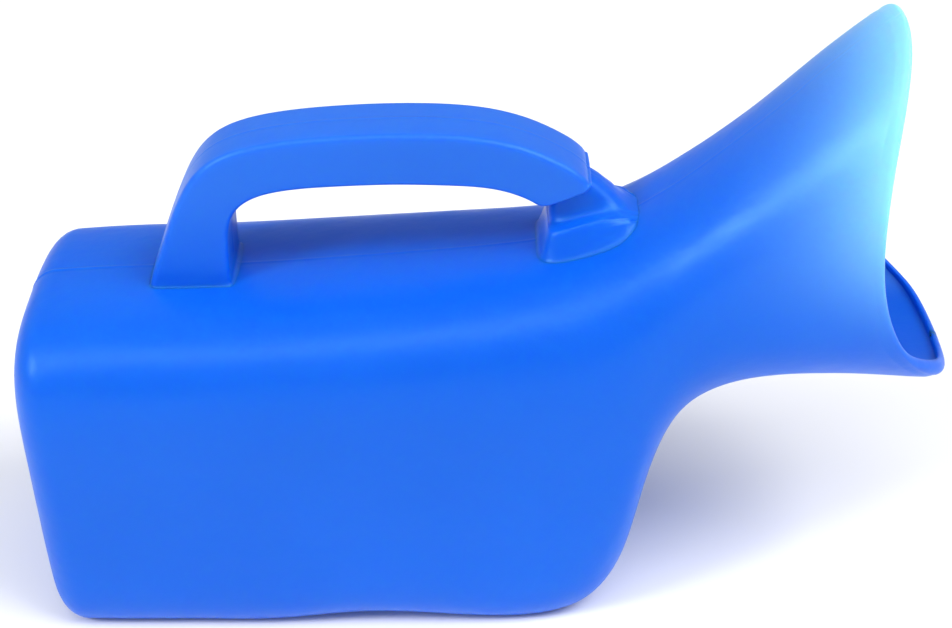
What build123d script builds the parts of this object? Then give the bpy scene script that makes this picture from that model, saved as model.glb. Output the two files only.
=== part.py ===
from build123d import *
from collections import namedtuple
from math import cos, hypot, pi, sin
import os

os.makedirs("parts", exist_ok=True)

# Blow-moulded bedside urine bottle: a hollow reservoir that runs through a slanted neck into a
# flared saddle-shaped mouth, a hollow grip over its top and a short post under the grip's nose.
# Millimetres. X runs from the rear end to the mouth, Y across, Z up from the resting face.

# ---- driving dimensions ----
BOTTLE_LENGTH = 287.0      # rear end to the tip of the pouring lip
BODY_WIDTH = 96.0          # across the reservoir
BODY_HEIGHT = 106.0        # resting face to the rear top edge of the reservoir
NECK_WIDTH = 73.0          # across the narrowest part of the neck
MOUTH_WIDTH = 90.0         # across the flared mouth
MOUTH_TOP = 187.0          # height of the flare's top; its edge runs on to end 3 mm higher
WALL = 2.0                 # moulded wall
REAR_ROUNDING = 10.5       # rounding round the rear end face
PAD_TRIM = 1.5             # how far the rounded underside is flattened into resting pads
ARCH_RISE = 1.2            # how far the underside lifts between the two pads

GRIP_WIDTH = 24.0          # across the grip
GRIP_CLEARANCE = 28.5      # finger room between the reservoir and the grip
GRIP_THICKNESS = 16.5      # depth of the grip seen from the side
GRIP_EDGE_RADIUS = 1.5     # rounding along the grip's long edges

BOSS_WIDTH = 24.0          # across the raised boss the post stands on
POST_WIDTH = 14.0          # across the post under the nose
POST_EDGE_RADIUS = 2.0     # rounding on the upright edges of boss and post

FINE_STEPS = 360           # steps used to measure the length of a cross-section outline
REAR_STEPS = 5             # cross-sections used to round the rear end

# Where the outline points sit, as shares of each half outline's length from the top centre to
# the underside centre: closer together round the two corners.
OUTLINE_SHARES = [0.0, 0.06, 0.11, 0.15, 0.18, 0.20, 0.22, 0.24, 0.26, 0.28, 0.31, 0.36, 0.43,
                  0.50, 0.57, 0.64, 0.69, 0.72, 0.74, 0.76, 0.78, 0.80, 0.83, 0.88, 0.94, 1.0]

# ---- scales that carry the side profile to the driving dimensions ----
DRAWN_LENGTH = 287.0       # length, height and widths the side profile below is drawn at
DRAWN_HEIGHT = 106.0
DRAWN_MOUTH_TOP = 187.0
DRAWN_RISE = 45.0          # reservoir to the top of the grip
DRAWN_BODY_HALF = 48.0
DRAWN_NECK_HALF = 36.5
DRAWN_MOUTH_HALF = 45.0

Section = namedtuple("Section", "top_x top_z under_x under_z half_width top_power under_power crown")

# Cross-sections from the rear end to just beyond the mouth. Each one is a plane across the bottle
# that meets the centre line of the top at (top_x, top_z) and of the underside at
# (under_x, under_z). The powers set how square the upper and lower halves are: high is a rounded
# box, 2 an ellipse. The crown is how far the top drops towards its sides.
ARCH_Z = ARCH_RISE + PAD_TRIM
BODY_SECTIONS = [
    Section(0.5, 105.6, 6.0, 0.0, 47.7, 4.8, 8.0, 3.5),
    Section(30.0, 106.8, 33.0, 0.0, 48.0, 4.8, 8.0, 3.5),
    Section(50.0, 107.8, 51.0, 0.0, 48.0, 4.8, 8.0, 3.5),
    Section(74.0, 109.1, 74.0, 0.0, 48.0, 4.8, 8.0, 3.5),
    Section(104.0, 111.5, 104.0, ARCH_Z, 47.6, 4.6, 8.0, 3.5),
    Section(134.0, 113.8, 136.0, 0.5, 46.8, 4.4, 8.0, 3.2),
    Section(150.0, 115.2, 158.0, 0.0, 45.6, 4.1, 8.0, 2.6),
    Section(164.0, 117.7, 175.2, 3.7, 43.8, 3.7, 6.0, 1.8),
    Section(174.0, 120.8, 184.8, 14.3, 42.0, 3.3, 4.2, 1.0),
]
NECK_SECTIONS = [
    Section(182.5, 124.8, 189.8, 30.0, 40.4, 3.0, 3.5, 0.6),
    Section(191.0, 130.0, 194.8, 50.0, 38.2, 2.7, 3.0, 0.0),
    Section(201.0, 137.2, 203.0, 66.5, 36.8, 2.5, 2.8, 0.0),
    Section(213.0, 147.3, 219.0, 75.0, 36.5, 2.35, 2.7, 0.0),
    Section(228.0, 161.0, 241.0, 77.8, 38.3, 2.3, 2.7, 0.0),
]
MOUTH_SECTIONS = [
    Section(243.0, 176.0, 262.0, 77.8, 41.5, 2.2, 2.7, 0.0),
    Section(257.0, 187.7, 286.0, 76.0, 45.0, 2.2, 2.7, 0.0),
    Section(266.0, 194.5, 300.0, 74.0, 47.0, 2.2, 2.7, 0.0),
]

# Mouth edge seen from the side: the bottle ends here, pulled back halfway up like a saddle.
MOUTH_EDGE = [(288.0, 60.0), (286.0, 75.0), (278.0, 84.5), (266.2, 97.0), (259.8, 108.0),
              (256.0, 120.0), (254.0, 138.0), (255.2, 160.0), (257.9, 176.0), (260.6, 190.0),
              (262.0, 200.0)]
# Mouth edge seen from above: the pouring lip is a rounded tip.
LIP_TIP_X = 286.3
LIP_SIDE_X = 272.3
LIP_SIDE_Y = 52.0
TRIM_REACH = 60.0          # how far the trimming bodies run past the bottle

# Grip seen from the side, as (distance from the rear end, share of the rise over the reservoir).
DECK_Z = 112.0             # top of the reservoir under the middle of the grip, as drawn
GRIP_UPPER_EDGE = [(35.5, -0.37), (40.0, -0.11), (47.5, 0.34), (54.5, 0.66), (64.0, 0.84),
                   (77.0, 0.925), (95.0, 0.975), (116.0, 1.0), (136.0, 0.985), (151.0, 0.92),
                   (162.0, 0.82), (169.0, 0.72)]
NOSE_ROOM = 1 / 11         # tightest turn of the nose, as a share of the grip's thickness;
                           # a longer bottle draws the nose out and tightens it
GRIP_NOSE = [(172.5, 0.635), (170.0, 0.56)]
GRIP_LOWER_EDGE = [(161.0, 0.745), (155.0, 0.83), (147.0, 0.925), (132.0, 0.985), (112.0, 1.0),
                   (94.0, 0.965), (80.0, 0.885), (69.5, 0.73), (65.0, 0.42), (65.0, 0.0),
                   (67.0, -0.28), (70.5, -0.57)]

# Boss and post seen from the side, as (distance from the rear end, height).
BOSS_SIDE = [(158.5, 104.0), (160.5, 124.7), (170.0, 127.9), (180.0, 130.6), (191.0, 127.0),
             (191.0, 104.0)]
POST_SIDE = [(160.5, 116.0), (160.5, 137.0), (168.0, 139.5), (173.0, 140.8), (175.0, 138.8),
             (178.2, 135.0), (184.5, 127.0), (184.5, 116.0)]


def along(distance):
    """X of a point drawn at this distance from the rear end."""
    return (distance / DRAWN_LENGTH - 0.5) * BOTTLE_LENGTH


def lifted(z):
    """Height of a drawn point: the reservoir keeps to its height, the rest to the mouth's."""
    if z <= DRAWN_HEIGHT:
        return z * BODY_HEIGHT / DRAWN_HEIGHT
    share = (z - DRAWN_HEIGHT) / (DRAWN_MOUTH_TOP - DRAWN_HEIGHT)
    return BODY_HEIGHT + share * (MOUTH_TOP - BODY_HEIGHT)


def half_outline(section, half_width, half_height):
    """Fine run of points down one side of a section, from its top centre to its underside."""
    run = []
    for index in range(FINE_STEPS + 1):
        angle = pi / 2 - pi * index / FINE_STEPS
        power = section.top_power if angle > 0 else section.under_power
        across = abs(cos(angle)) ** (2 / power)
        upward = abs(sin(angle)) ** (2 / power)
        if angle > 0:
            level = half_height * upward - section.crown * across ** 2 * upward
        else:
            level = -half_height * upward
        run.append((half_width * across, level))
    run[0] = (0, half_height)
    run[-1] = (0, -half_height)
    return run


def spread_points(run):
    """Points at the outline shares of a run's length."""
    lengths = [0.0]
    for before, after in zip(run, run[1:]):
        lengths.append(lengths[-1] + hypot(after[0] - before[0], after[1] - before[1]))
    points = [run[0]]
    index = 0
    for share in OUTLINE_SHARES[1:-1]:
        wanted = share * lengths[-1]
        while lengths[index + 1] < wanted:
            index += 1
        part = (wanted - lengths[index]) / (lengths[index + 1] - lengths[index])
        start, end = run[index], run[index + 1]
        points.append((start[0] + (end[0] - start[0]) * part, start[1] + (end[1] - start[1]) * part))
    points.append(run[-1])
    return points


def cross_section(section, width_scale, inset, floor_lift, forward):
    """Half of one rounded outline across the bottle, shrunk by inset and moved forward."""
    top = Vector(along(section.top_x) + forward, 0, lifted(section.top_z))
    under = Vector(along(section.under_x) + forward, 0, lifted(section.under_z) + floor_lift)
    up = (top - under).normalized()
    top = top - up * inset
    under = under + up * inset
    half_height = (top - under).length / 2
    half_width = section.half_width * width_scale - inset
    plane = Plane(origin=(top + under) * 0.5, x_dir=(0, 1, 0), z_dir=Vector(0, 1, 0).cross(up))
    points = spread_points(half_outline(section, half_width, half_height))
    with BuildSketch(plane) as outline:
        with BuildLine():
            add(Edge.make_spline(points, tangents=[(1, 0), (-1, 0)], parameters=OUTLINE_SHARES))
            Line(points[-1], points[0])
        make_face()
    return outline.sketch.face()


def side_faces(sections):
    """Curved faces of a loft through half outlines, without its ends and its middle plane."""
    with BuildPart() as half:
        loft(sections=sections)
    ends = [sections[0].center(), sections[-1].center()]
    kept = []
    for face in half.faces():
        middle = face.center()
        on_middle_plane = abs(middle.Y) < WALL / 10
        on_end = min((middle - end).length for end in ends) < WALL / 10
        if not on_middle_plane and not on_end:
            kept.append(face)
    return kept


def body_loft(inset):
    """Solid inside the outer skin, or inside the wall when inset is the wall thickness."""
    body_scale = BODY_WIDTH / 2 / DRAWN_BODY_HALF
    neck_scale = NECK_WIDTH / 2 / DRAWN_NECK_HALF
    mouth_scale = MOUTH_WIDTH / 2 / DRAWN_MOUTH_HALF
    lift = -PAD_TRIM if inset == 0 else 0
    rounding = REAR_ROUNDING - inset
    rear_faces = []
    for step in range(REAR_STEPS):
        turn = pi / 2 * step / (REAR_STEPS - 1)
        shrink = inset + rounding * (1 - sin(turn))
        forward = inset + rounding * (1 - cos(turn))
        rear_faces.append(cross_section(BODY_SECTIONS[0], body_scale, shrink, lift, forward))
    faces = [cross_section(BODY_SECTIONS[0], body_scale, inset, lift, REAR_ROUNDING)]
    for section in BODY_SECTIONS[1:]:
        faces.append(cross_section(section, body_scale, inset, lift, 0))
    for section in NECK_SECTIONS:
        faces.append(cross_section(section, neck_scale, inset, 0, 0))
    for section in MOUTH_SECTIONS:
        faces.append(cross_section(section, mouth_scale, inset, 0, 0))
    half = side_faces(rear_faces) + side_faces(faces) + [rear_faces[0], faces[-1]]
    with BuildPart() as solid:
        add(Solid(Shell(half + [face.mirror(Plane.XZ) for face in half])))
    return solid.part


def mouth_trim():
    """Everything beyond the mouth edge, to be cut away."""
    edge = [(along(x), lifted(z)) for x, z in MOUTH_EDGE]
    far_x = along(DRAWN_LENGTH) + TRIM_REACH
    with BuildPart() as beyond:
        with BuildSketch(Plane.XZ):
            with BuildLine():
                Spline(*edge)
                Polyline(edge[-1], (far_x, edge[-1][1]), (far_x, edge[0][1]), edge[0])
            make_face()
        extrude(amount=BODY_WIDTH, both=True)
    side_y = LIP_SIDE_Y * MOUTH_WIDTH / 2 / DRAWN_MOUTH_HALF
    tip_x = along(LIP_TIP_X)
    side_x = along(LIP_SIDE_X)
    with BuildPart() as plan:
        with BuildSketch(Plane.XY):
            with BuildLine():
                ThreePointArc((side_x, -side_y), (tip_x, 0), (side_x, side_y))
                Polyline((side_x, side_y), (far_x, side_y), (far_x, -side_y), (side_x, -side_y))
            make_face()
        extrude(amount=MOUTH_TOP + TRIM_REACH)
    return beyond.part, plan.part


def grip_point(point, rise):
    """Position in the side view of a grip point drawn as (distance, share of the rise)."""
    return (along(point[0]), lifted(DECK_Z) + point[1] * rise)


def moved_inward(points, distance):
    """The same run of side-view points, moved square to the run towards its inner side."""
    moved = []
    for index, point in enumerate(points):
        before = points[max(index - 1, 0)]
        after = points[min(index + 1, len(points) - 1)]
        run_x = after[0] - before[0]
        run_z = after[1] - before[1]
        length = hypot(run_x, run_z)
        moved.append((point[0] + run_z / length * distance, point[1] - run_x / length * distance))
    return moved


def grip_block(inset):
    """Grip seen from the side (rear leg, crowned bar, closed nose) carried across its width."""
    rise = GRIP_CLEARANCE + GRIP_THICKNESS
    outline = [grip_point(point, rise) for point in GRIP_UPPER_EDGE + GRIP_NOSE]
    outline += [grip_point(point, GRIP_CLEARANCE) for point in GRIP_LOWER_EDGE]
    outline = moved_inward(outline, inset)
    with BuildPart() as block:
        with BuildSketch(Plane.XZ):
            with BuildLine():
                Spline(*outline)
                Line(outline[-1], outline[0])
            make_face()
        extrude(amount=GRIP_WIDTH / 2 - inset, both=True)
    return block


def polygon_block(corners, width):
    """Upright block with this side view, carried across its width."""
    with BuildPart() as block:
        with BuildSketch(Plane.XZ):
            Polygon(*corners, align=None)
        extrude(amount=width / 2, both=True)
    return block


# ---- outer skin and cavity ----
skin = body_loft(0)
cavity = body_loft(WALL)
beyond_edge, beyond_lip = mouth_trim()

# ---- grip, open into the reservoir at its rear foot ----
handle = grip_block(0)
grip_hollow = grip_block(WALL)
with handle:
    long_edges = handle.faces().filter_by(Axis.Y).edges().filter_by(GeomType.BSPLINE)
    nose_turn = NOSE_ROOM * GRIP_THICKNESS * DRAWN_LENGTH / BOTTLE_LENGTH
    fillet(long_edges, min(GRIP_EDGE_RADIUS, nose_turn))
    add(skin, mode=Mode.SUBTRACT)
grip_outside = handle.part
with handle:
    add(grip_hollow.part, mode=Mode.SUBTRACT)
handle.part.label = "handle"
export_step(handle.part, "parts/handle.step")

# ---- shell: reservoir, neck and mouth in one moulded wall ----
with BuildPart() as bottle_shell:
    add(skin)
    add(cavity, mode=Mode.SUBTRACT)
    add(beyond_edge, mode=Mode.SUBTRACT)
    add(beyond_lip, mode=Mode.SUBTRACT)
    add(grip_hollow.part, mode=Mode.SUBTRACT)
    with Locations((0, 0, -TRIM_REACH / 2)):
        Box(2 * BOTTLE_LENGTH, 2 * BODY_WIDTH, TRIM_REACH, mode=Mode.SUBTRACT)
bottle_shell.part.label = "bottle_shell"
export_step(bottle_shell.part, "parts/bottle_shell.step")

# ---- front post: raised boss with a narrower post up to the nose of the grip ----
boss = polygon_block([(along(x), lifted(z)) for x, z in BOSS_SIDE], BOSS_WIDTH)
with boss:
    fillet(boss.edges().filter_by(Axis.Z), POST_EDGE_RADIUS)
post_rise = (GRIP_CLEARANCE + GRIP_THICKNESS) / DRAWN_RISE
post_side = [grip_point((x, z - DECK_Z), post_rise) for x, z in POST_SIDE]
post = polygon_block(post_side, POST_WIDTH)
with post:
    fillet(post.edges().filter_by(Axis.Z), POST_EDGE_RADIUS)
with BuildPart() as front_post:
    add(boss.part)
    add(post.part)
    add(skin, mode=Mode.SUBTRACT)
    add(grip_outside, mode=Mode.SUBTRACT)
front_post.part.label = "front_post"
export_step(front_post.part, "parts/front_post.step")
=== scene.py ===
import math

import bmesh
import bpy
import numpy as np
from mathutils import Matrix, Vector, noise
from mathutils.bvhtree import BVHTree


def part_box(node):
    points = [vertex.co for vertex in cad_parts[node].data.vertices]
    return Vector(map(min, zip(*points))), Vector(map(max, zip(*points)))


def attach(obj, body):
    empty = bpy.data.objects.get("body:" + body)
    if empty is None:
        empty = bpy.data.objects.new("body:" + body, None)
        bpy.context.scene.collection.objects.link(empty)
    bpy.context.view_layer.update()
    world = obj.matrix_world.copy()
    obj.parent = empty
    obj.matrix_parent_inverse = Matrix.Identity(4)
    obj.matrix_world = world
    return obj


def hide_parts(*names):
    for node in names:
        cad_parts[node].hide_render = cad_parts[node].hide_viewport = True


# Blow-moulded bedside urine bottle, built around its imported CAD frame.
# Lengths in this file are in metres, except where a name ends in _MM.

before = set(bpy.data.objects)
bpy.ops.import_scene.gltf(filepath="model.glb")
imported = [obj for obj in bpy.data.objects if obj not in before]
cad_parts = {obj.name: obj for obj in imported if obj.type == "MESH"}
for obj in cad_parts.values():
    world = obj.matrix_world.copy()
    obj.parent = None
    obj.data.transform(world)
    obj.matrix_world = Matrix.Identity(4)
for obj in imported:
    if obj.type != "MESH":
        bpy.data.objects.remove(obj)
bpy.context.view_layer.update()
MM = 0.001

# ---------------------------------------------------------------- frame
shell_low, shell_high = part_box("bottle_shell")
DRAWN_SPAN_MM = 284.313     # length of the shell that the side profile below is drawn for
DRAWN_REAR_MM = 1.028       # where the rear end sits on the profile's scale
SCALE = (shell_high[0] - shell_low[0]) / (DRAWN_SPAN_MM * MM)
REAR_X = shell_low[0] / MM / SCALE - DRAWN_REAR_MM
WALL_MM = 2.0
SKIN_MARGIN_MM = 0.25       # keeps surface unevenness inside the CAD box


# ---------------------------------------------------------------- small maths
def spline(knots, values, at):
    """Natural cubic spline through values at knots, read at many places."""
    knots = np.asarray(knots, float)
    values = np.asarray(values, float)
    count = len(knots)
    gap = np.diff(knots)
    matrix = np.eye(count)
    side = np.zeros(count)
    for i in range(1, count - 1):
        matrix[i, i - 1] = gap[i - 1]
        matrix[i, i] = 2 * (gap[i - 1] + gap[i])
        matrix[i, i + 1] = gap[i]
        side[i] = 6 * ((values[i + 1] - values[i]) / gap[i] - (values[i] - values[i - 1]) / gap[i - 1])
    bend = np.linalg.solve(matrix, side)
    at = np.asarray(at, float)
    i = np.clip(np.searchsorted(knots, at, side="right") - 1, 0, count - 2)
    a = knots[i + 1] - at
    b = at - knots[i]
    h = gap[i]
    return ((bend[i] * a ** 3 + bend[i + 1] * b ** 3) / (6 * h)
            + (values[i] / h - bend[i] * h / 6) * a + (values[i + 1] / h - bend[i + 1] * h / 6) * b)


def smooth_min(a, b, reach):
    """The smaller of two values, blended where they are within reach of each other."""
    mix = np.clip(0.5 + 0.5 * (b - a) / reach, 0, 1)
    return b + (a - b) * mix - reach * mix * (1 - mix)


def smooth_max(a, b, reach):
    return -smooth_min(-a, -b, reach)


def bump(distance, half_width):
    """Bell of height 1 round distance 0."""
    return np.exp(-(distance / half_width) ** 2)


def ease(value, low, high):
    """0 below low, 1 above high, smooth between."""
    t = np.clip((np.asarray(value, float) - low) / (high - low), 0, 1)
    return t * t * (3 - 2 * t)


# ---------------------------------------------------------------- mesh helpers
def make_mesh(name, vertices_mm, faces):
    """Smooth mesh object from points on the side profile's scale, faces turned outwards."""
    data = bpy.data.meshes.new(name)
    places = [((x + REAR_X) * SCALE * MM, y * SCALE * MM, z * SCALE * MM) for x, y, z in vertices_mm]
    data.from_pydata(places, [], [list(map(int, f)) for f in faces])
    data.validate()
    work = bmesh.new()
    work.from_mesh(data)
    bmesh.ops.recalc_face_normals(work, faces=work.faces)
    work.to_mesh(data)
    work.free()
    data.update()
    data.polygons.foreach_set("use_smooth", [True] * len(data.polygons))
    obj = bpy.data.objects.new(name, data)
    bpy.context.scene.collection.objects.link(obj)
    return obj


def paint_glow(obj, values):
    """Painted glow at each vertex, laid where the blown wall is thin: how far its colour is turned
    paler to paint light shining through it and a highlight.
    """
    layer = obj.data.attributes.new("painted_glow", "FLOAT", "POINT")
    layer.data.foreach_set("value", values)


def grid_faces(rows, columns):
    """Quads between successive closed rings of a grid."""
    faces = []
    for r in range(rows - 1):
        for c in range(columns):
            a = r * columns + c
            b = r * columns + (c + 1) % columns
            faces.append((a, b, b + columns, a + columns))
    return faces


def closed_tube(rings, first_tip, last_tip):
    """Vertices and faces of a run of rings, drawn to a point at each end."""
    rows, columns = rings.shape[:2]
    vertices = np.concatenate([rings.reshape(-1, 3), [first_tip], [last_tip]])
    faces = grid_faces(rows, columns)
    first = rows * columns
    start = first - columns
    for c in range(columns):
        following = (c + 1) % columns
        faces.append((first, following, c))
        faces.append((first + 1, start + c, start + following))
    return vertices, faces


def grid_normals(points):
    """Unit normals of a grid of closed rings, all to one side."""
    along = np.gradient(points, axis=0)
    around = np.roll(points, -1, axis=1) - np.roll(points, 1, axis=1)
    normal = np.cross(along, around)
    return normal / np.maximum(np.linalg.norm(normal, axis=2, keepdims=True), 1e-9)


def facing(normals, row, axis):
    """The same normals, turned so that the one on this row's first column points up its axis."""
    return -normals if normals[row, 0, axis] < 0 else normals


def run_lengths(points):
    """Distance along a run of points, from its start to each of them."""
    steps = np.linalg.norm(np.diff(points, axis=0), axis=1)
    return np.concatenate([[0], np.cumsum(steps)])


def read_along(points, length, wanted):
    """Points of a run at the wanted distances along it."""
    return np.stack([np.interp(wanted, length, column) for column in points.T], 1)


# ---------------------------------------------------------------- shell: sections
# top x, top z, underside x, underside z, half width, top power, under power, crown
SECTIONS = [
    (11.0, 105.6, 16.5, -1.5, 47.7, 4.8, 8.0, 3.5),
    (30.0, 106.8, 33.0, -1.5, 48.0, 4.8, 8.0, 3.5),
    (50.0, 107.3, 51.0, -1.5, 48.0, 4.8, 8.0, 3.5),
    (74.0, 108.4, 74.0, -1.5, 48.0, 4.8, 8.0, 3.5),
    (104.0, 110.8, 104.0, 1.2, 47.6, 4.6, 8.0, 3.5),
    (134.0, 113.4, 136.0, -1.0, 46.8, 4.4, 8.0, 3.2),
    (150.0, 115.2, 158.0, -1.5, 45.6, 4.1, 8.0, 2.6),
    (164.0, 117.7, 175.2, 2.2, 43.8, 3.7, 6.0, 1.8),
    (174.0, 120.8, 184.8, 12.8, 42.0, 3.3, 4.2, 1.0),
    (182.5, 124.8, 189.8, 30.0, 40.4, 3.0, 3.5, 0.6),
    (191.0, 130.0, 194.8, 50.0, 38.2, 2.7, 3.0, 0.0),
    (201.0, 137.2, 203.0, 66.5, 36.8, 2.5, 2.8, 0.0),
    (213.0, 147.3, 219.0, 75.0, 36.5, 2.35, 2.7, 0.0),
    (228.0, 161.0, 241.0, 77.8, 38.3, 2.3, 2.7, 0.0),
    (243.0, 176.0, 262.0, 77.8, 41.5, 2.2, 2.7, 0.0),
    (257.0, 187.7, 286.0, 76.0, 45.0, 2.2, 2.7, 0.0),
    (266.0, 194.5, 300.0, 74.0, 47.0, 2.2, 2.7, 0.0),
]
REAR_ROUNDING_MM = 10.5
REAR_STANDOFF_MM = 0.35             # how far the flat of the rear face stops short of the rounding
REAR_DOME_MM = 0.75                 # how far the middle of the rear face stands out
# x, z of the mouth edge seen from the side
MOUTH_EDGE = [(287.0, 60.0), (285.5, 75.0), (277.6, 84.5), (266.0, 97.0), (259.8, 108.0),
              (256.0, 120.0), (254.0, 138.0), (255.2, 160.0), (257.9, 176.0), (260.6, 190.0),
              (262.0, 200.0)]
# the pouring lip seen from above: an arc through its tip and a point on each side
LIP_TIP_X, LIP_SIDE_X, LIP_SIDE_Y = 285.6, 271.6, 52.0
LIP_BLEND_MM = 3.0                  # how gently the two views of the edge run into each other
MOUTH_STARTS_X = 200.0              # the bottle is cut only beyond this

FINE_AROUND = 500
FINE_ALONG = 420
HALF_SPANS = 78                     # quads down each side of a ring
PARTING_STEPS_MM = [0.22, 0.45, 0.75, 1.2, 1.9, 3.0]


def half_outline(half_width, half_height, top_power, under_power, crown):
    """Fine run down one side of a section, from top centre to underside centre."""
    angle = math.pi / 2 - np.pi * np.arange(FINE_AROUND + 1) / FINE_AROUND
    power = np.where(angle > 0, top_power, under_power)
    across = np.abs(np.cos(angle)) ** (2 / power)
    upward = np.abs(np.sin(angle)) ** (2 / power)
    level = np.where(angle > 0, half_height * upward - crown * across ** 2 * upward,
                     -half_height * upward)
    across[0] = across[-1] = 0
    level[0], level[-1] = half_height, -half_height
    return np.stack([half_width * across, level], 1)


def spread(run):
    """Points along a run: fine steps at both ends, for the parting line, and even ones between."""
    length = run_lengths(run)
    total = length[-1]
    ends = np.array([0.0] + PARTING_STEPS_MM)
    middle = np.linspace(ends[-1], total - ends[-1], HALF_SPANS - 2 * (len(ends) - 1) + 1)[1:-1]
    wanted = np.concatenate([ends, middle, total - ends[::-1]])
    return read_along(run, length, wanted)


def ring(section, inset=0.0, forward=0.0):
    """Closed ring of points across the bottle, right side down and left side up."""
    top_x, top_z, under_x, under_z, half_width, top_power, under_power, crown = section
    top = np.array([top_x + forward, 0, top_z])
    under = np.array([under_x + forward, 0, under_z])
    up = (top - under) / np.linalg.norm(top - under)
    top = top - up * inset
    under = under + up * inset
    half_height = np.linalg.norm(top - under) / 2
    half = spread(half_outline(half_width - inset, half_height, top_power, under_power, crown))
    loop = np.concatenate([half, half[-2:0:-1] * [-1, 1]])
    middle = (top + under) / 2
    return middle + np.outer(loop[:, 0], [0, 1, 0]) + np.outer(loop[:, 1], up)


section_array = np.array(SECTIONS)
middles = (section_array[:, [0, 1]] + section_array[:, [2, 3]]) / 2
along_key = run_lengths(middles)
along_key = along_key / along_key[-1]
fine_keys = np.linspace(0, 1, FINE_ALONG)
fine_sections = np.stack([spline(along_key, column, fine_keys) for column in section_array.T], 1)
skin = np.array([ring(s, SKIN_MARGIN_MM) for s in fine_sections])     # row, column, xyz
COLUMNS = skin.shape[1]


def mouth_limit(points):
    """How far along X the bottle reaches at each point's height and side."""
    edge = np.array(MOUTH_EDGE)
    from_side = spline(edge[:, 1], edge[:, 0], points[..., 2])
    sagitta = LIP_TIP_X - LIP_SIDE_X
    radius = (LIP_SIDE_Y ** 2 + sagitta ** 2) / (2 * sagitta)
    across = np.minimum(np.abs(points[..., 1]), radius * 0.999)
    from_above = LIP_TIP_X - radius + np.sqrt(radius ** 2 - across ** 2)
    return smooth_min(from_side, from_above, LIP_BLEND_MM) - SKIN_MARGIN_MM


# Each lengthwise line is cut where it meets the mouth edge, and its rows are shared out anew: even
# ones over the body, then fine ones up to the rim.
RIM_ROWS_MM = [0.0, 0.45, 0.9, 1.3, 1.7, 2.1, 2.6, 3.2, 3.8, 4.3, 4.8, 5.3, 5.9, 6.8, 8.0, 9.6, 11.5]
BODY_ROWS = 120
over = skin[..., 0] - mouth_limit(skin)
rows = []
for c in range(COLUMNS):
    line = skin[:, c]
    crosses = (over[:-1, c] <= 0) & (over[1:, c] > 0) & (line[:-1, 0] > MOUTH_STARTS_X)
    beyond = np.where(crosses)[0][0]
    part = over[beyond, c] / (over[beyond, c] - over[beyond + 1, c])
    end = line[beyond] + (line[beyond + 1] - line[beyond]) * part
    run = np.concatenate([line[:beyond + 1], end[None]])
    length = run_lengths(run)
    total = length[-1]
    wanted = np.concatenate([np.linspace(0, total - RIM_ROWS_MM[-1], BODY_ROWS)[:-1],
                             total - np.array(RIM_ROWS_MM[::-1])])
    rows.append(read_along(run, length, wanted))
outer = np.stack(rows, 1)

# rear end: rounded shoulder and a very slightly domed face
rear_rings = []
for turn in np.linspace(0, math.pi / 2, 11)[:-1]:
    shrink = SKIN_MARGIN_MM + (REAR_ROUNDING_MM - SKIN_MARGIN_MM) * (1 - math.sin(turn))
    back = -(REAR_ROUNDING_MM - REAR_STANDOFF_MM) * math.cos(turn)
    rear_rings.append(ring(section_array[0], shrink, back))
face_ring = rear_rings[0]
face_middle = face_ring.mean(axis=0)
face_rings = []
for share in (0.02, 0.12, 0.25, 0.4, 0.55, 0.7, 0.82, 0.91, 0.97):
    dome = REAR_DOME_MM * (1 - share ** 2)
    face_rings.append(face_middle + (face_ring - face_middle) * share - [dome, 0, 0])
outer = np.concatenate([np.array(face_rings), np.array(rear_rings), outer])
ROWS = outer.shape[0]

# ---------------------------------------------------------------- shell: moulded surface
UNDER_LIP_CURL_MM = 1.3
FLOOR_BLEND_MM = 0.5
normals = facing(grid_normals(outer), ROWS // 2, 2)
plain = outer
plain_normals = normals
rim_distance = np.linalg.norm(outer - outer[-1], axis=2)
raise_by = np.zeros(outer.shape[:2])
# parting line: a fine flash ridge with a shallow dip on each side, stronger underneath
parting = outer[..., 1]
strength = 0.07 + 0.12 * (1 - ease(outer[..., 0], 4, 40)) + 0.16 * (normals[..., 2] < -0.3)
raise_by += strength * (bump(parting, 0.42) - 0.6 * bump(np.abs(parting) - 1.2, 0.55))
# trim lines running round just inside the mouth edge
raise_by += -0.16 * bump(rim_distance - 2.6, 0.5) + 0.10 * bump(rim_distance - 4.8, 0.8)
# the pouring lip's underside curls up as it nears the edge
under_lip = ease(-normals[..., 2], 0.35, 0.95)
raise_by -= UNDER_LIP_CURL_MM * under_lip * bump(rim_distance, 4.5)
# slow unevenness of a blown wall
for r in range(ROWS):
    for c in range(COLUMNS):
        p = Vector(outer[r, c])
        raise_by[r, c] += (0.10 * noise.noise(p * 0.028)
                           + 0.05 * noise.noise(p * 0.075 + Vector((9, 4, 2))))
outer = outer + normals * raise_by[..., None]
# the underside is flattened into its resting pads
outer[..., 2] = smooth_max(outer[..., 2], np.zeros_like(outer[..., 2]), FLOOR_BLEND_MM)
outer[..., 2] = np.maximum(outer[..., 2], 0.0)

# ---------------------------------------------------------------- shell: lip and inside
LIP_RADIUS_MM = 0.95
POURING_LIP_EXTRA_MM = 1.5          # how much fuller the pouring lip's edge is
LIP_REACH_MM = 7.0                  # how far back from the rim the wall is still thickened by it
ROWS_START_MM = 2.55                # outer rows nearer to the rim than this give way to the lip
# how far back from the rim the painted glow reaches
GLOW_REACH_MM = 20.0
normals = facing(grid_normals(outer), ROWS // 2, 2)
rim = outer[-1]
rim_normal = normals[-2]
heading = outer[-1] - outer[-4]
heading /= np.linalg.norm(heading, axis=1, keepdims=True)
rim_normal = rim_normal - heading * np.sum(rim_normal * heading, axis=1, keepdims=True)
rim_normal /= np.linalg.norm(rim_normal, axis=1, keepdims=True)
low_lip = ease(-rim_normal[:, 2], 0.35, 0.95)            # 1 along the pouring lip
lip_radius = LIP_RADIUS_MM + POURING_LIP_EXTRA_MM * low_lip
centre = rim - (heading + rim_normal) * lip_radius[:, None]
lip = []
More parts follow.
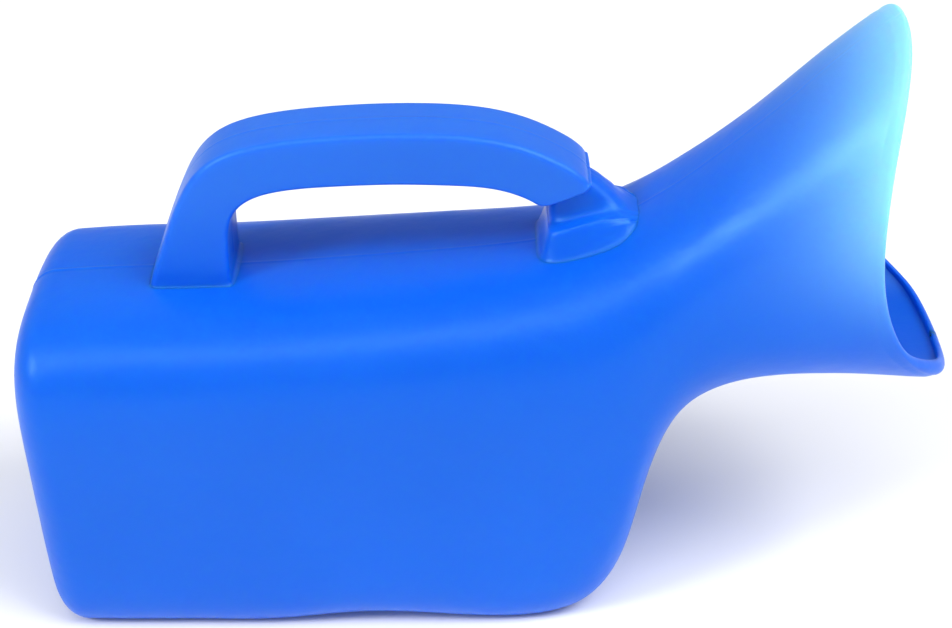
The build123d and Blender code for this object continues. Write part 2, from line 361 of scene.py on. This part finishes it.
for turn in np.linspace(0, math.pi, 11):
    way = rim_normal * math.cos(turn) + heading * math.sin(turn)
    lip.append(centre + way * lip_radius[:, None])
lip = np.array(lip)
keep = [r for r in range(ROWS)
        if r < ROWS - len(RIM_ROWS_MM) or RIM_ROWS_MM[ROWS - 1 - r] > ROWS_START_MM]
outer_kept = outer[keep]
kept_distance = np.linalg.norm(outer_kept - rim, axis=2)
thick = WALL_MM + np.zeros(outer_kept.shape[:2])
thick += (2 * lip_radius - WALL_MM) * np.exp(-kept_distance / LIP_REACH_MM)
# the inside follows the skin as it was before its ridges were raised
inner = plain[keep] - plain_normals[keep] * thick[..., None]
inner = inner[1:]
stack = np.concatenate([outer_kept, lip, inner[::-1]])
vertices, faces = closed_tube(stack, outer_kept[0].mean(axis=0), inner[0].mean(axis=0))
shell = make_mesh("shell_moulding", vertices, faces)

# painted glow and highlight round the upper mouth, where the wall is thinnest
glow_kept = np.exp(-kept_distance / GLOW_REACH_MM)
glow_rows = np.concatenate([glow_kept, np.ones(lip.shape[:2]), glow_kept[1:][::-1]])
glow_rows = glow_rows * ease(stack[..., 2], 95, 160)
paint_glow(shell, np.concatenate([glow_rows.ravel(), [0.0, 0.0]]))

# the finished outside, for standing the grip and post on it
ABOVE_ALL_MM = 400.0
surface = BVHTree.FromPolygons([tuple(p) for p in outer_kept.reshape(-1, 3)],
                               grid_faces(len(outer_kept), COLUMNS))


def deck(x, y):
    """Height of the bottle's outside above a point in plan."""
    hit = surface.ray_cast(Vector((x, y, ABOVE_ALL_MM)), Vector((0, 0, -1)))
    return hit[0].z if hit[0] is not None else 0.0


# ---------------------------------------------------------------- grip
# top x, top z, underside x, underside z down the grip, from the rear foot to the nose
GRIP = [
    (40.6, 108.4, 65.0, 109.4), (43.2, 115.5, 64.9, 113.6), (47.5, 127.3, 64.9, 119.6),
    (50.8, 135.0, 65.4, 125.6), (55.2, 142.4, 67.2, 130.6), (61.0, 147.9, 70.4, 134.0),
    (68.5, 151.5, 75.2, 136.5), (78.0, 153.9, 82.5, 138.3), (95.0, 156.0, 96.5, 139.7),
    (116.0, 157.0, 115.5, 140.4), (136.0, 156.3, 132.5, 140.0), (149.5, 153.8, 144.5, 138.8),
    (158.5, 150.5, 151.5, 136.7), (165.0, 147.1, 156.0, 134.4), (168.0, 145.2, 158.8, 133.3),
    (170.2, 143.4, 162.6, 134.4), (171.6, 141.9, 166.8, 136.2), (172.2, 140.8, 169.8, 137.4),
]
GRIP_HALF_MM = 11.9
GRIP_CROWN_MM = 0.35
GRIP_TOP_RADIUS_MM = 1.9
GRIP_LOW_RADIUS_MM = 1.3
NOSE_ROUNDING_MM = 1.5
FOOT_FLARE_MM = 1.0


def box_outline(half_width, height, top_radius, low_radius, crown):
    """Rounded-box loop of (across, level) points, level 0 at the underside."""
    loop = []
    across_steps = [0, 0.22, 0.45, 0.75, 1.3, 2.4, 4.0]
    reach = half_width - top_radius
    top = across_steps + list(np.linspace(5.6, reach, 4))
    loop += [(y, height - crown * (y / half_width) ** 2) for y in top if y <= reach]
    shoulder = height - crown * (reach / half_width) ** 2 - top_radius
    for turn in np.linspace(0, math.pi / 2, 8)[1:]:
        loop.append((reach + top_radius * math.sin(turn), shoulder + top_radius * math.cos(turn)))
    for level in np.linspace(shoulder, low_radius, 7)[1:-1]:
        loop.append((half_width, level))
    for turn in np.linspace(0, math.pi / 2, 8):
        loop.append((half_width - low_radius + low_radius * math.cos(turn),
                     low_radius - low_radius * math.sin(turn)))
    low = list(np.linspace(half_width - low_radius, 1.3, 5)[1:]) + [0.6, 0]
    loop += [(y, 0.0) for y in low]
    right = np.array(loop)
    return np.concatenate([right, right[-2:0:-1] * [-1, 1]])


grip_array = np.array(GRIP)
grip_middle = (grip_array[:, :2] + grip_array[:, 2:]) / 2
grip_key = run_lengths(grip_middle)
GRIP_ROWS = 110
grip_at = np.linspace(0, grip_key[-1], GRIP_ROWS)
grip_fine = np.stack([spline(grip_key, column, grip_at) for column in grip_array.T], 1)


def grip_ring(top_x, top_z, low_x, low_z, inset=0.0, shift=(0, 0, 0)):
    """Ring of points round the grip, wider where the grip meets the bottle."""
    top = np.array([top_x, 0, top_z])
    low = np.array([low_x, 0, low_z])
    height = np.linalg.norm(top - low)
    up = (top - low) / height
    flare = FOOT_FLARE_MM * (1 - ease(low_z, 109, 124))
    loop = box_outline(GRIP_HALF_MM - inset + flare, height - 2 * inset,
                       max(GRIP_TOP_RADIUS_MM - inset * 0.4, 0.6),
                       max(GRIP_LOW_RADIUS_MM - inset * 0.5, 0.6), GRIP_CROWN_MM)
    return low + up * inset + np.outer(loop[:, 0], [0, 1, 0]) + np.outer(loop[:, 1], up) + shift


grip_rings = [grip_ring(*g) for g in grip_fine]
# nose: the last ring rounds over along the way the grip was heading
ahead = grip_middle[-1] - grip_middle[-2]
ahead = np.array([ahead[0], 0, ahead[1]]) / np.linalg.norm(ahead)
for turn in np.linspace(0, math.pi / 2, 9)[1:]:
    inset = NOSE_ROUNDING_MM * (1 - math.cos(turn))
    grip_rings.append(grip_ring(*grip_fine[-1], inset, ahead * NOSE_ROUNDING_MM * math.sin(turn)))
grip_points = np.array(grip_rings)
last_ring = grip_points[-1]
last_middle = last_ring.mean(axis=0)
closing = [last_middle + (last_ring - last_middle) * share for share in (0.8, 0.5, 0.2)]
grip_points = np.concatenate([grip_points, closing])
# foot: small fillet that spreads onto the bottle, wider on the inner side
foot = grip_points[0]
foot_middle = foot.mean(axis=0)
foot_rings = []
for spread_mm, lift_mm in ((1.1, -0.3), (0.7, 0.0), (0.35, 0.1), (0.12, 0.4), (0.02, 0.9)):
    out = foot - foot_middle
    out[:, 2] = 0
    out /= np.maximum(np.linalg.norm(out, axis=1, keepdims=True), 1e-6)
    inner_side = ease(out[:, 0], 0.5, 0.95)
    placed = foot + out * (spread_mm * (1 + 1.6 * inner_side))[:, None]
    placed[:, 2] = [deck(x, y) for x, y in placed[:, :2]] + lift_mm * (1 + 1.6 * inner_side)
    foot_rings.append(placed)
grip_points = np.concatenate([np.array(foot_rings), grip_points[1:]])
grip_normals = facing(grid_normals(grip_points), len(grip_points) // 2, 2)
# parting line, then the slow unevenness
grip_raise = np.zeros(grip_points.shape[:2])
grip_raise += (0.07 * bump(grip_points[..., 1], 0.40)
               - 0.05 * bump(np.abs(grip_points[..., 1]) - 1.2, 0.6))
for r in range(len(grip_points)):
    for c in range(grip_points.shape[1]):
        p = Vector(grip_points[r, c])
        grip_raise[r, c] += 0.09 * noise.noise(p * 0.05 + Vector((3, 7, 1)))
grip_points[5:-3] += (grip_normals * grip_raise[..., None])[5:-3]
under_foot = grip_points[0].mean(axis=0) - [0, 0, 0.6]
grip_vertices, grip_faces = closed_tube(grip_points, under_foot, grip_points[-1].mean(axis=0))
grip = make_mesh("grip_moulding", grip_vertices, grip_faces)
# painted glow: the grip is made a little paler towards its top, for light shining through it
paint_glow(grip, 0.05 * ease(grip_vertices[:, 2], 112, 142))

# ---------------------------------------------------------------- boss and post under the nose
# x, z of the boss's top seen from the side
BOSS_TOP = [(156.0, 123.2), (160.5, 124.7), (170.0, 127.9), (176.0, 129.6), (180.0, 130.1),
            (184.0, 129.2), (191.0, 126.4), (196.0, 124.4)]
POST_COLUMNS = 96
BOSS_CAMBER = 0.004                 # how the boss's top falls away to its sides
BOSS_TAPER = 0.6                    # how much narrower the boss is at its front
boss_array = np.array(BOSS_TOP)


def plan_loop(rear_x, front_x, half_width, power):
    """Closed loop in plan, starting at the front on the centre line."""
    angle = 2 * np.pi * np.arange(POST_COLUMNS) / POST_COLUMNS
    c, s = np.cos(angle), np.sin(angle)
    half_length = (front_x - rear_x) / 2
    x = (front_x + rear_x) / 2 + half_length * np.sign(c) * np.abs(c) ** (2 / power)
    y = half_width * np.sign(s) * np.abs(s) ** (2 / power)
    return x, y


def boss_top(x, y):
    """Height of the boss's top."""
    return np.interp(x, boss_array[:, 0], boss_array[:, 1]) - BOSS_CAMBER * y ** 2


post_rings = []


def boss_ring(rear_x, front_x, half_width, power, share, rise):
    """share 0 puts the ring on the bottle, 1 on the boss's top; rise adds to that."""
    x, y = plan_loop(rear_x, front_x, half_width, power)
    y = y * (1 - BOSS_TAPER * ease(x, 180, 194))
    base = np.array([deck(a, b) for a, b in zip(x, y)])
    top = boss_top(x, y)
    z = base + (top - base) * share + rise
    # the front runs down under the skin of the neck
    sunk = ease(x, 184.5, 190.5)
    z = z + (np.minimum(z, base - 0.5) - z) * sunk
    post_rings.append(np.stack([x, y, z], 1))


# rear x, front x, half width, power, share, rise: the boss from its foot, then the post
POST_RINGS = [
    (156.4, 193.6, 16.4, 5.0, 0.0, -0.30),
    (157.1, 193.0, 15.9, 5.5, 0.0, 0.0),
    (157.6, 192.6, 15.4, 6.0, 0.0, 0.25),
    (158.0, 192.3, 14.9, 6.5, 0.10, 0.2),
    (158.7, 192.2, 13.9, 7.0, 0.36, 0.0),
    (159.5, 192.1, 12.9, 7.5, 0.68, 0.0),
    (160.0, 192.0, 12.3, 8.0, 0.90, -0.2),
    (160.2, 191.9, 12.0, 8.0, 1.0, -0.55),
    (160.35, 191.9, 11.75, 8.0, 1.0, -0.22),
    (160.5, 191.7, 11.4, 7.5, 1.0, -0.04),
    (160.7, 191.3, 10.9, 7.0, 1.0, 0.02),
    (160.8, 189.0, 9.8, 6.0, 1.0, 0.12),
    (160.8, 186.0, 8.8, 5.0, 1.0, 0.4),
    (160.8, 183.6, 8.0, 4.2, 1.0, 1.0),
    (160.8, 181.9, 7.5, 3.6, 1.0, 2.1),
    (160.8, 180.2, 7.2, 3.2, 1.0, 3.7),
    (160.8, 178.2, 7.0, 3.0, 1.0, 5.6),
    (160.9, 176.2, 6.9, 2.9, 1.0, 7.6),
    (161.2, 174.3, 6.8, 2.8, 1.0, 9.4),
    (162.0, 172.7, 6.6, 2.8, 1.0, 10.8),
    (164.0, 171.0, 5.4, 2.6, 1.0, 11.5),
    (166.0, 169.0, 2.5, 2.4, 1.0, 11.6),
]
for post_ring in POST_RINGS:
    boss_ring(*post_ring)
post_points = np.array(post_rings)
ridge = 0.10 * bump(post_points[..., 1], 0.5) - 0.06 * bump(np.abs(post_points[..., 1]) - 1.2, 0.5)
post_normals = facing(grid_normals(post_points), 4, 0)
post_points += post_normals * ridge[..., None]
under_boss = post_points[0].mean(axis=0)
under_boss[2] = post_points[0][:, 2].min() - 0.3
post_vertices, post_faces = closed_tube(post_points, under_boss, post_points[-1].mean(axis=0))
post = make_mesh("post_moulding", post_vertices, post_faces)

# ---------------------------------------------------------------- materials
def new_material(name):
    mat = bpy.data.materials.new(name)
    mat.use_nodes = True
    return mat, mat.node_tree.nodes, mat.node_tree.links


def link_noise(nodes, links, coords, scale, detail, roughness=0.5):
    node = nodes.new("ShaderNodeTexNoise")
    node.inputs["Scale"].default_value = scale
    node.inputs["Detail"].default_value = detail
    node.inputs["Roughness"].default_value = roughness
    links.new(coords.outputs["Object"], node.inputs["Vector"])
    return node


def ramp(nodes, links, source, stops):
    node = nodes.new("ShaderNodeValToRGB")
    node.color_ramp.elements[0].position = stops[0][0]
    node.color_ramp.elements[0].color = stops[0][1]
    node.color_ramp.elements[1].position = stops[-1][0]
    node.color_ramp.elements[1].color = stops[-1][1]
    for place, colour in stops[1:-1]:
        node.color_ramp.elements.new(place).color = colour
    links.new(source, node.inputs["Fac"])
    return node


def polythene(name):
    """Blue blow-moulded polythene: satin, faintly pebbled, with slow changes of shade."""
    mat, nodes, links = new_material(name)
    shader = nodes["Principled BSDF"]
    shader.inputs["IOR"].default_value = 1.52
    shader.inputs["Specular IOR Level"].default_value = 0.45
    shader.inputs["Specular Tint"].default_value = (0.34, 0.83, 1.0, 1)
    shader.inputs["Subsurface Weight"].default_value = 1.0
    shader.inputs["Subsurface Scale"].default_value = 0.003
    shader.inputs["Subsurface Radius"].default_value = (0.15, 0.5, 1.0)
    coords = nodes.new("ShaderNodeTexCoord")
    shade = link_noise(nodes, links, coords, 9.0, 3.0)
    colour = ramp(nodes, links, shade.outputs["Fac"], [
        (0.3, (0.0015, 0.108, 0.64, 1)), (0.5, (0.002, 0.117, 0.67, 1)),
        (0.7, (0.003, 0.126, 0.70, 1))])
    # painted glow and highlight: paler round the upper mouth and the grip's top, where the wall is
    # thin
    glow_amount = nodes.new("ShaderNodeAttribute")
    glow_amount.attribute_name = "painted_glow"
    paler = nodes.new("ShaderNodeMix")
    paler.data_type = "RGBA"
    paler.inputs["B"].default_value = (0.30, 0.72, 0.95, 1)
    links.new(glow_amount.outputs["Fac"], paler.inputs["Factor"])
    links.new(colour.outputs["Color"], paler.inputs["A"])
    links.new(paler.outputs["Result"], shader.inputs["Base Color"])
    patchy = link_noise(nodes, links, coords, 38.0, 5.0, 0.6)
    rough = ramp(nodes, links, patchy.outputs["Fac"], [
        (0.3, (0.34, 0.34, 0.34, 1)), (0.5, (0.38, 0.38, 0.38, 1)), (0.72, (0.45, 0.45, 0.45, 1))])
    links.new(rough.outputs["Color"], shader.inputs["Roughness"])
    pebble = link_noise(nodes, links, coords, 900.0, 2.0)
    swell = link_noise(nodes, links, coords, 90.0, 2.0)
    first = nodes.new("ShaderNodeBump")
    first.inputs["Strength"].default_value = 0.25
    first.inputs["Distance"].default_value = 0.0012
    links.new(swell.outputs["Fac"], first.inputs["Height"])
    second = nodes.new("ShaderNodeBump")
    second.inputs["Strength"].default_value = 0.16
    second.inputs["Distance"].default_value = 0.0002
    links.new(pebble.outputs["Fac"], second.inputs["Height"])
    links.new(first.outputs["Normal"], second.inputs["Normal"])
    links.new(second.outputs["Normal"], shader.inputs["Normal"])
    return mat


plastic = polythene("polythene_blue")
for piece, node, slot in ((shell, "bottle_shell", "shell_plastic"), (grip, "handle", "handle_plastic"),
                          (post, "front_post", "post_plastic")):
    piece.data.materials.append(plastic)
    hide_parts(node)
    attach(piece, "root")

# ---------------------------------------------------------------- floor
floor_mat, nodes, links = new_material("pale_paper")
nodes["Principled BSDF"].inputs["Base Color"].default_value = (0.92, 0.92, 0.925, 1)
nodes["Principled BSDF"].inputs["Roughness"].default_value = 0.9
FLOOR_REACH = 3.0
floor_data = bpy.data.meshes.new("studio_floor")
corners = [(-FLOOR_REACH, -FLOOR_REACH, 0), (FLOOR_REACH, -FLOOR_REACH, 0),
           (FLOOR_REACH, FLOOR_REACH, 0), (-FLOOR_REACH, FLOOR_REACH, 0)]
floor_data.from_pydata(corners, [], [(0, 1, 2, 3)])
floor = bpy.data.objects.new("studio_floor", floor_data)
bpy.context.scene.collection.objects.link(floor)
floor.data.materials.append(floor_mat)


# ---------------------------------------------------------------- light and camera
LIGHT_AIM = Vector((0, 0, 0.1))


def area_light(name, place, size, power):
    """Rectangular white light at a place, turned to the bottle."""
    data = bpy.data.lights.new(name, "AREA")
    data.shape = "RECTANGLE"
    data.size, data.size_y = size
    data.energy = power
    lamp = bpy.data.objects.new(name, data)
    lamp.location = place
    lamp.rotation_euler = (LIGHT_AIM - place).to_track_quat("-Z", "Y").to_euler()
    bpy.context.scene.collection.objects.link(lamp)


def placed(azimuth, elevation, distance):
    """A point seen from the bottle at an azimuth, 0 towards -Y and 90 towards the mouth."""
    azimuth, elevation = math.radians(azimuth), math.radians(elevation)
    return LIGHT_AIM + distance * Vector((math.sin(azimuth) * math.cos(elevation),
                                          -math.cos(azimuth) * math.cos(elevation),
                                          math.sin(elevation)))


area_light("key_high", placed(8, 64, 2.6), (3.0, 1.2), 31.0)
area_light("side_left", placed(-58, 35, 2.4), (0.6, 0.6), 26.0)
area_light("side_right", placed(70, 50, 2.6), (1.8, 1.4), 47.0)
world = bpy.data.worlds.new("studio_air")
bpy.context.scene.world = world
world.use_nodes = True
air = world.node_tree.nodes["Background"]
air.inputs["Color"].default_value = (0.93, 0.95, 1.0, 1)
# the backdrop beyond the floor looks white, but sends the bottle only soft light
seen = world.node_tree.nodes.new("ShaderNodeLightPath")
level = world.node_tree.nodes.new("ShaderNodeMapRange")
level.inputs["To Min"].default_value = 0.40
level.inputs["To Max"].default_value = 1.05
world.node_tree.links.new(seen.outputs["Is Camera Ray"], level.inputs["Value"])
world.node_tree.links.new(level.outputs["Result"], air.inputs["Strength"])

CAMERA_TARGET = Vector((-0.0045, 0.0, 0.0893))
CAMERA_DISTANCE = 0.578
CAMERA_ELEVATION = math.radians(31.5)
camera_data = bpy.data.cameras.new("view")
camera_data.sensor_width = 36.0
camera_data.lens = 69.96
camera = bpy.data.objects.new("view", camera_data)
camera.location = CAMERA_TARGET + CAMERA_DISTANCE * Vector((0, -math.cos(CAMERA_ELEVATION),
                                                          math.sin(CAMERA_ELEVATION)))
camera.rotation_euler = (math.pi / 2 - CAMERA_ELEVATION, 0, 0)
bpy.context.scene.collection.objects.link(camera)
bpy.context.scene.camera = camera
bpy.context.scene.view_settings.view_transform = "Standard"
